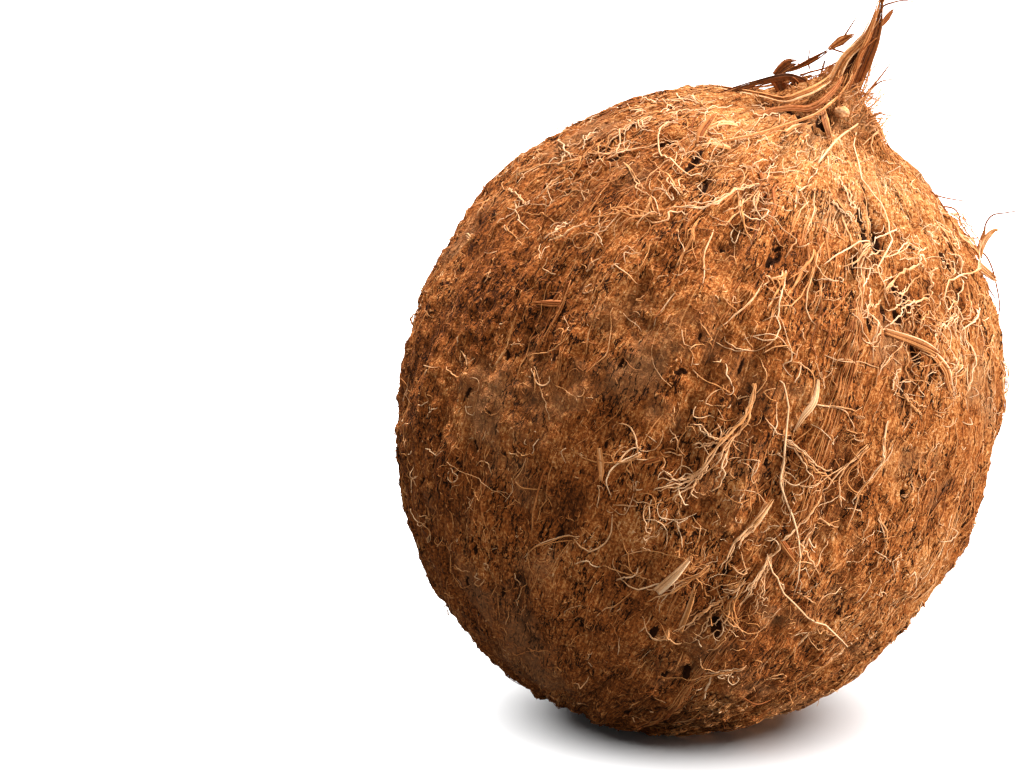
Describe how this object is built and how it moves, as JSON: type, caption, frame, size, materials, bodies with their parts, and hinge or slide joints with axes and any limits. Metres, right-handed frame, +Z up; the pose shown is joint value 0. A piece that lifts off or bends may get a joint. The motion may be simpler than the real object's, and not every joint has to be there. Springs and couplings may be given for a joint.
{
  "type": "coconut",
  "caption": "Whole mature coconut with its brown fibre coat and stem tuft, leaning on a small flat resting spot.",
  "frame": {"origin": "middle of the small flat spot that the nut rests on", "axes": "+Z up, +X towards the side that the stem tuft leans to, -Y the front"},
  "size_m": [0.1139, 0.112, 0.1415],
  "materials": {
    "husk": "dry matted coir fibre over a woody shell, brown to tan, matte"
  },
  "bodies": {
    "root": {"coconut": "husk"}
  },
  "joints": []
}
